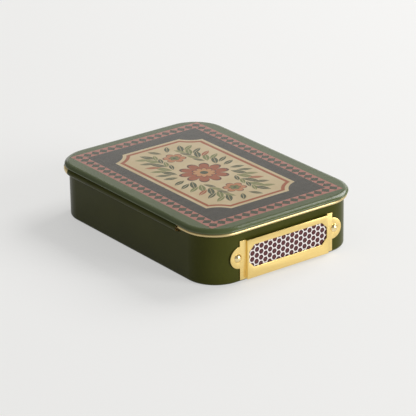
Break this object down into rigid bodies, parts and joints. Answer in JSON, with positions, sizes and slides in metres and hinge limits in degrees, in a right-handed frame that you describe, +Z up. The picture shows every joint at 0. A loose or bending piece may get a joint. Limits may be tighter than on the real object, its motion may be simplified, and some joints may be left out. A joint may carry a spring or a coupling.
{
  "type": "match tin",
  "caption": "Flat hinged tin with rounded corners for matches, with a striker card that slides into a riveted frame on one end.",
  "frame": {"origin": "middle of the tray's underside, midway between the end walls and between the front and hinge walls", "axes": "+Z up, +X along the long sides away from the card frame, +Y towards the hinge"},
  "size_m": [0.1174, 0.0848, 0.026],
  "materials": {
    "printed_tinplate": "satin varnish",
    "lid_tinplate": "satin varnish",
    "steel_wire": "drawn",
    "sheet_brass": "satin",
    "rivet_brass": "polished",
    "striker_board": "printed"
  },
  "bodies": {
    "tin_body": {"tray": "printed_tinplate", "hinge_wire": "steel_wire", "card_frame": "sheet_brass", "rivet_rear": "rivet_brass", "rivet_front": "rivet_brass"},
    "tin_lid": {"lid": "lid_tinplate"},
    "striker": {"striker_card": "striker_board"}
  },
  "joints": [
    {"name": "lid_hinge", "type": "hinge", "parent": "tin_body", "child": "tin_lid", "pos_m": [0, 0.0409, 0.02261], "axis": [-1, 0, 0], "range_deg": [0, 110]},
    {"name": "card_slide", "type": "slide", "parent": "tin_body", "child": "striker", "axis": [0, 0, 1], "range_m": [0, 0.004]}
  ]
}
